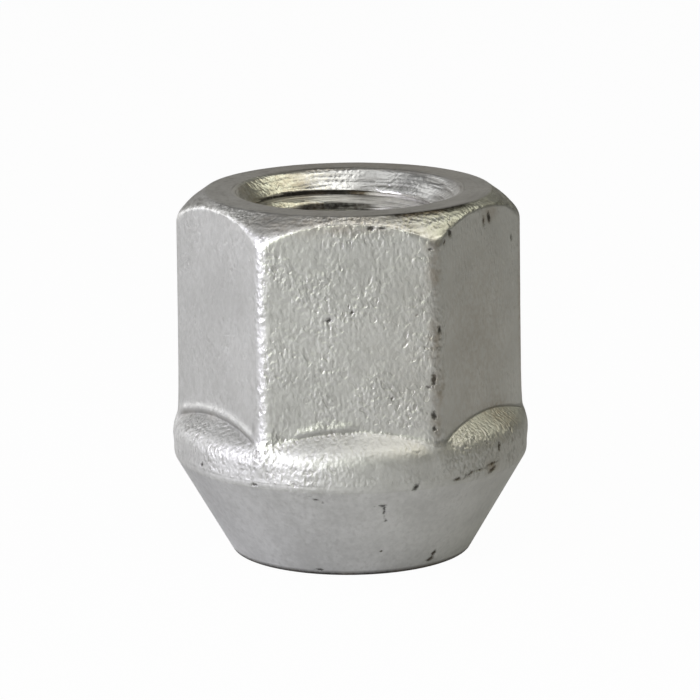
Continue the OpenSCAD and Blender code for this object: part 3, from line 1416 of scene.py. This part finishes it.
@dataclass(frozen=True)
class CoatFinish:
    """Satin zinc coat on one kind of surface. Depths and spacings are in millimetres, pairs are ramps."""

    name: str
    light: Colour = (0.665, 0.665, 0.645)
    dark: Colour = (0.56, 0.56, 0.54)
    roughness: float = 0.42
    grain: float = 0.0
    speckle: float = 0.0
    lines: float = 0.0
    line_spacing: float = 0.36
    line_breaks: float = 4.0
    line_rise: float = 0.0
    streaks: float = 0.0
    streak: Colour = (0.2, 0.19, 0.17)
    # Colours of the brown film, which is partly painted shade, of the painted highlight on the crown's
    # edge, and of the painted shade and the pits, with its browner tint
    film_and_shade: Colour = (0.36, 0.31, 0.25)
    painted_highlight: Colour = (0.8, 0.8, 0.78)
    soil: Colour = (0.05, 0.046, 0.04)
    rust: Colour = (0.09, 0.072, 0.052)
    metallic: float = 0.85
    rough_spread: float = 0.16
    pit_roughness: float = 0.3
    pit_depth: float = 0.05
    speck_level: float = 0.85
    cloud_share: float = 0.6
    tone_ramp: Pair = (0.3, 0.7)
    streak_ramp: Pair = (0.48, 0.36)
    # Patchiness of the brown film, which is partly painted shade
    film_and_shade_ramp: Pair = (0.3, 0.65)
    film_and_shade_patchy: float = 0.5
    film_and_shade_least: float = 0.3
    highlight_ramp: Pair = (0.4, 0.62)

    def material(self, groups: CoatGroups) -> bpy.types.Material:
        """Builds the material.

        Args:
            groups: Shared shader groups.

        Returns:
            The material.
        """
        made = bpy.data.materials.new(self.name)
        made.use_nodes = True
        sheet = NodeSheet(made.node_tree)
        place = {"Vector": sheet.add("ShaderNodeTexCoord").outputs["Object"]}
        mottle = sheet.fed("ShaderNodeGroup", place, node_tree=groups.mottle)
        marks = sheet.fed("ShaderNodeGroup", place | {
            "Nick": sheet.painted("nick"),
            "Soil": sheet.painted("soil"),
            "Speck Level": self.speck_level,
        }, node_tree=groups.marks)
        grain: Optional[Outputs] = None
        if self.grain:
            share = {"Share": sheet.painted("forged")}
            grain = sheet.fed("ShaderNodeGroup", place | share, node_tree=groups.grain)
        streak: Optional[Socket] = None
        if self.lines:
            streak = sheet.fed("ShaderNodeGroup", place | {
                "Spacing": self.line_spacing * MM,
                "Breaks": self.line_breaks,
                "Rise": self.line_rise,
            }, node_tree=groups.lines)["Height"]
        rough = self.roughness - self.rough_spread / 2
        rough = sheet.math("MULTIPLY_ADD", mottle["Fleck"], self.rough_spread, rough)
        inputs = made.node_tree.nodes["Principled BSDF"].inputs
        inputs["Metallic"].default_value = self.metallic
        sheet.feed(inputs["Base Color"], self.colour(sheet, mottle, marks, grain, streak))
        sheet.feed(inputs["Roughness"], sheet.math("MULTIPLY_ADD", marks["Pit"], self.pit_roughness, rough))
        sheet.feed(inputs["Normal"], self.relief(sheet, marks["Pit"], grain, streak))
        return made

    def colour(self, sheet: NodeSheet, mottle: Outputs, marks: Outputs, grain: Optional[Outputs],
               streak: Optional[Socket]) -> Socket:
        """Colour of the coat with its streaks, brown film that is partly painted shade, painted highlight
        on the crown's edge, painted shade and pits.

        Args:
            sheet: Sheet of the material.
            mottle: Outputs of the mottle group.
            marks: Outputs of the pits group.
            grain: Outputs of the grain group, if the surface has grain.
            streak: Height of the turning lines, if the surface has them.

        Returns:
            The colour.
        """
        fleck = mottle["Fleck"]
        tone = sheet.math("ADD", sheet.math("MULTIPLY", mottle["Cloud"], self.cloud_share),
                          sheet.math("MULTIPLY", fleck, 1 - self.cloud_share))
        colour = sheet.blend(sheet.smooth_step(tone, *self.tone_ramp), self.dark, self.light)
        if streak:
            gap = sheet.math("MULTIPLY", sheet.smooth_step(streak, *self.streak_ramp), self.streaks)
            colour = sheet.blend(gap, colour, self.streak)
        if grain:
            # Darker in the grain's hollows and pocks, partly painted shade of the dabs that tilt away from
            # the light
            hollow = sheet.math("MULTIPLY", grain["Hollow"], self.speckle)
            colour = sheet.blend(hollow, colour, self.streak)
        # Brown film, partly painted shade on the right side
        patchy = sheet.smooth_step(fleck, *self.film_and_shade_ramp)
        film_and_shade = sheet.math("MULTIPLY_ADD", patchy, self.film_and_shade_patchy, self.film_and_shade_least)
        colour = sheet.blend(sheet.math("MULTIPLY", film_and_shade, sheet.painted("stain")), colour, self.film_and_shade)
        # Painted highlight along the crown's edge, in patches
        rim_highlight = sheet.math("MULTIPLY", sheet.painted("edge"), sheet.smooth_step(fleck, *self.highlight_ramp))
        colour = sheet.blend(rim_highlight, colour, self.painted_highlight)
        # The pits and the painted shade share one dark colour, browner where the rust noise is high
        dark = sheet.blend(marks["Rust"], self.soil, self.rust)
        return sheet.blend(sheet.math("MAXIMUM", marks["Pit"], marks["Painted Shade"]), colour, dark)

    def relief(self, sheet: NodeSheet, pit: Socket, grain: Optional[Outputs],
               streak: Optional[Socket]) -> Socket:
        """Adds the pits, the grain and the turning lines as bump, one on the other.

        Args:
            sheet: Sheet of the material.
            pit: Mask of the pits.
            grain: Outputs of the grain group, if the surface has grain.
            streak: Height of the turning lines, if the surface has them.

        Returns:
            The bumped normal.
        """
        layers = [(sheet.math("SUBTRACT", 1.0, pit), self.pit_depth)]
        if grain:
            layers.append((grain["Height"], self.grain))
        if streak:
            layers.append((streak, self.lines))
        under: dict[str, object] = {}
        for height, depth in layers:
            values = {"Strength": 1.0, "Distance": depth * MM, "Height": height, **under}
            under = {"Normal": sheet.fed("ShaderNodeBump", values)["Normal"]}
        return under["Normal"]


FINISHES = {
    Zone.SEAT: CoatFinish(
        "seat_coat", (0.69, 0.69, 0.68), (0.52, 0.52, 0.51), 0.43, grain=0.1, speckle=0.45),
    Zone.COLLAR: CoatFinish(
        "collar_coat", (0.67, 0.67, 0.65), (0.53, 0.53, 0.51), 0.54, grain=0.13, speckle=0.45),
    Zone.FORGED: CoatFinish("forged_coat", grain=0.075, speckle=0.24),
    Zone.CROWN: CoatFinish(
        "crown_coat", (0.58, 0.58, 0.55), (0.47, 0.47, 0.45), 0.4, grain=0.18, speckle=0.8,
        lines=0.06, line_spacing=0.34, line_breaks=7.0, streaks=0.4),
    Zone.RING: CoatFinish(
        "ring_coat", (0.7, 0.7, 0.68), (0.54, 0.54, 0.52), 0.38, grain=0.12, speckle=0.8,
        lines=0.03, line_spacing=0.5, line_breaks=3.0, streaks=0.15),
    Zone.TURNED: CoatFinish(
        "turned_coat", (0.8, 0.8, 0.77), (0.64, 0.64, 0.62), 0.32, grain=0.15, speckle=0.9,
        lines=0.08, line_spacing=0.26, line_breaks=1.8, streaks=0.55),
    # The thread's coat is paler than the rest, partly painted light for the bore, which the lamps hardly
    # reach
    Zone.THREAD: CoatFinish(
        "thread_coat", (0.85, 0.84, 0.8), (0.6, 0.59, 0.56), 0.46,
        lines=0.06, line_spacing=0.22, line_breaks=2.0, line_rise=1.0, streaks=0.5),
}


def direction(bearing: float, elevation: float) -> Vector:
    """Direction from the nut, with bearing 0 towards the camera and 90 to its right.

    Args:
        bearing: Degrees round the axis.
        elevation: Degrees above the floor.

    Returns:
        A unit vector.
    """
    turn = math.radians(bearing)
    rise = math.radians(elevation)
    return Vector((math.sin(turn) * math.cos(rise), -math.cos(turn) * math.cos(rise), math.sin(rise)))


@dataclass(frozen=True)
class SoftBox:
    """A rectangular lamp that faces the nut, in degrees, metres and watts."""

    name: str
    bearing: float
    elevation: float
    width: float
    height: float
    power: float
    colour: Colour = (1.0, 1.0, 1.0)
    distance: float = 0.25

    def place(self, aim: Vector) -> bpy.types.Object:
        """Hangs the lamp.

        Args:
            aim: Point that it faces, in metres.

        Returns:
            The lamp.
        """
        lamp = bpy.data.lights.new(self.name, "AREA")
        lamp.shape = "RECTANGLE"
        lamp.size = self.width
        lamp.size_y = self.height
        lamp.energy = self.power
        lamp.color = self.colour
        made = bpy.data.objects.new(self.name, lamp)
        made.location = aim + direction(self.bearing, self.elevation) * self.distance
        made.rotation_euler = (aim - made.location).to_track_quat("-Z", "Y").to_euler()
        bpy.context.scene.collection.objects.link(made)
        return made


@dataclass(frozen=True)
class Studio:
    """Floor, lamps, sky and camera. The camera's lengths are in millimetres, its angles in degrees."""

    aim_height: float = 11.4
    camera_distance: float = 281.4
    camera_elevation: float = 12.92
    camera_roll: float = -0.64
    sensor: float = 36.0
    pixels_a_mm: float = 15.847
    frame_px: int = 700
    aim_px: Pair = (349.5, 369.1)
    clip_start: float = 10.0
    # Half the floor's width in metres, its grey, and how white rays from the camera and the metal see it
    floor_half: float = 3.0
    paper: float = 0.5
    seen_white: float = 0.975
    mirrored_white: float = 0.138
    sky: float = 0.5
    sky_strength: float = 0.02
    boxes: tuple[SoftBox, ...] = (
        SoftBox("key_box", -57.0, 18.0, 0.18, 0.15, 0.63, (0.9, 0.885, 1.0)),
        SoftBox("front_box", -20.0, 20.0, 0.12, 0.12, 0.148, (0.95, 1.0, 0.8)),
        SoftBox("warm_box", 68.0, 54.0, 0.22, 0.14, 0.13, (1.0, 0.94, 0.74)),
        SoftBox("top_right_box", 45.0, 75.0, 0.12, 0.12, 0.094),
        SoftBox("top_front_box", -10.0, 50.0, 0.12, 0.12, 0.08),
        SoftBox("top_left_box", -76.0, 65.0, 0.1, 0.1, 0.032),
        SoftBox("side_box", -120.0, 27.0, 0.13, 0.15, 0.074),
        SoftBox("low_side_box", -120.0, 7.0, 0.24, 0.05, 0.065),
        SoftBox("right_box", 115.0, 45.0, 0.12, 0.12, 0.082, (0.98, 1.0, 0.78)),
        SoftBox("rear_box", 192.0, 16.0, 0.3, 0.1, 0.027, (1.0, 0.95, 0.88)),
    )

    @property
    def aim(self) -> Vector:
        """Point on the axis that the lamps and the camera face, in metres."""
        return Vector((0.0, 0.0, self.aim_height * MM))

    def set_camera(self) -> None:
        """Puts the camera where the photograph was taken from."""
        data = bpy.data.cameras.new("photo_camera")
        data.sensor_width = self.sensor
        data.lens = self.pixels_a_mm * self.camera_distance / self.frame_px * self.sensor
        data.clip_start = self.clip_start * MM
        made = bpy.data.objects.new("photo_camera", data)
        made.location = self.aim + direction(0.0, self.camera_elevation) * self.camera_distance * MM
        facing = (self.aim - made.location).to_track_quat("-Z", "Y").to_matrix()
        step = MM / self.pixels_a_mm
        right = (self.frame_px / 2 - self.aim_px[0]) * step
        up = (self.aim_px[1] - self.frame_px / 2) * step
        made.location += facing @ Vector((right, up, 0.0))
        roll = Euler((0.0, 0.0, math.radians(self.camera_roll))).to_matrix()
        made.rotation_euler = (facing @ roll).to_euler()
        bpy.context.scene.collection.objects.link(made)
        bpy.context.scene.camera = made

    def lay_floor(self) -> bpy.types.Object:
        """Lays the pale floor.

        Returns:
            The floor.
        """
        half = self.floor_half
        corners = [(-half, -half, 0), (half, -half, 0), (half, half, 0), (-half, half, 0)]
        mesh = bpy.data.meshes.new("floor")
        mesh.from_pydata(corners, [], [(0, 1, 2, 3)])
        mesh.materials.append(self.floor_material())
        made = bpy.data.objects.new("floor", mesh)
        bpy.context.scene.collection.objects.link(made)
        return made

    def floor_material(self) -> bpy.types.Material:
        """White paper that the camera and the metal see as the background, with a faint shadow.

        Returns:
            The material.
        """
        made = bpy.data.materials.new("white_paper")
        made.use_nodes = True
        sheet = NodeSheet(made.node_tree)
        made.node_tree.nodes.clear()
        grey = (self.paper, self.paper, self.paper, 1.0)
        paper = sheet.fed("ShaderNodeBsdfDiffuse", {"Color": grey})[0]
        white = sheet.add("ShaderNodeEmission").outputs[0]
        rays = sheet.add("ShaderNodeLightPath").outputs
        share = sheet.math("MULTIPLY", rays[Ray.CAMERA.value], self.seen_white)
        for ray in (Ray.GLOSSY, Ray.TRANSMISSION):
            mirrored = sheet.math("MULTIPLY", rays[ray.value], self.mirrored_white)
            share = sheet.math("MAXIMUM", share, mirrored)
        mixed = sheet.add("ShaderNodeMixShader")
        for target, value in zip(mixed.inputs, (share, paper, white)):
            sheet.feed(target, value)
        sheet.fed("ShaderNodeOutputMaterial", {"Surface": mixed.outputs[0]})
        return made

    def set_sky(self) -> None:
        """Sets the soft grey surroundings."""
        world = bpy.data.worlds.new("studio")
        world.use_nodes = True
        inputs = world.node_tree.nodes["Background"].inputs
        inputs["Color"].default_value = (self.sky, self.sky, self.sky, 1.0)
        inputs["Strength"].default_value = self.sky_strength
        bpy.context.scene.world = world

    def build(self) -> None:
        """Sets up everything around the nut."""
        self.set_camera()
        self.lay_floor()
        for box in self.boxes:
            box.place(self.aim)
        self.set_sky()
        bpy.context.scene.view_settings.view_transform = "Standard"


def main() -> None:
    """Builds the nut and its studio."""
    logging.basicConfig(level=logging.INFO, format="%(name)s: %(message)s")
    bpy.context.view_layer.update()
    groups = CoatGroups()
    finishes = {zone: finish.material(groups) for zone, finish in FINISHES.items()}
    nut = NutBody(NutSizes.from_frame(frame)).build(finishes)
    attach(nut, BODY)
    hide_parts(NODE)
    LOG.info("%s rides on %s with %d faces", nut.name, BODY, len(nut.data.polygons))
    Studio().build()


if __name__ == "__main__":
    main()
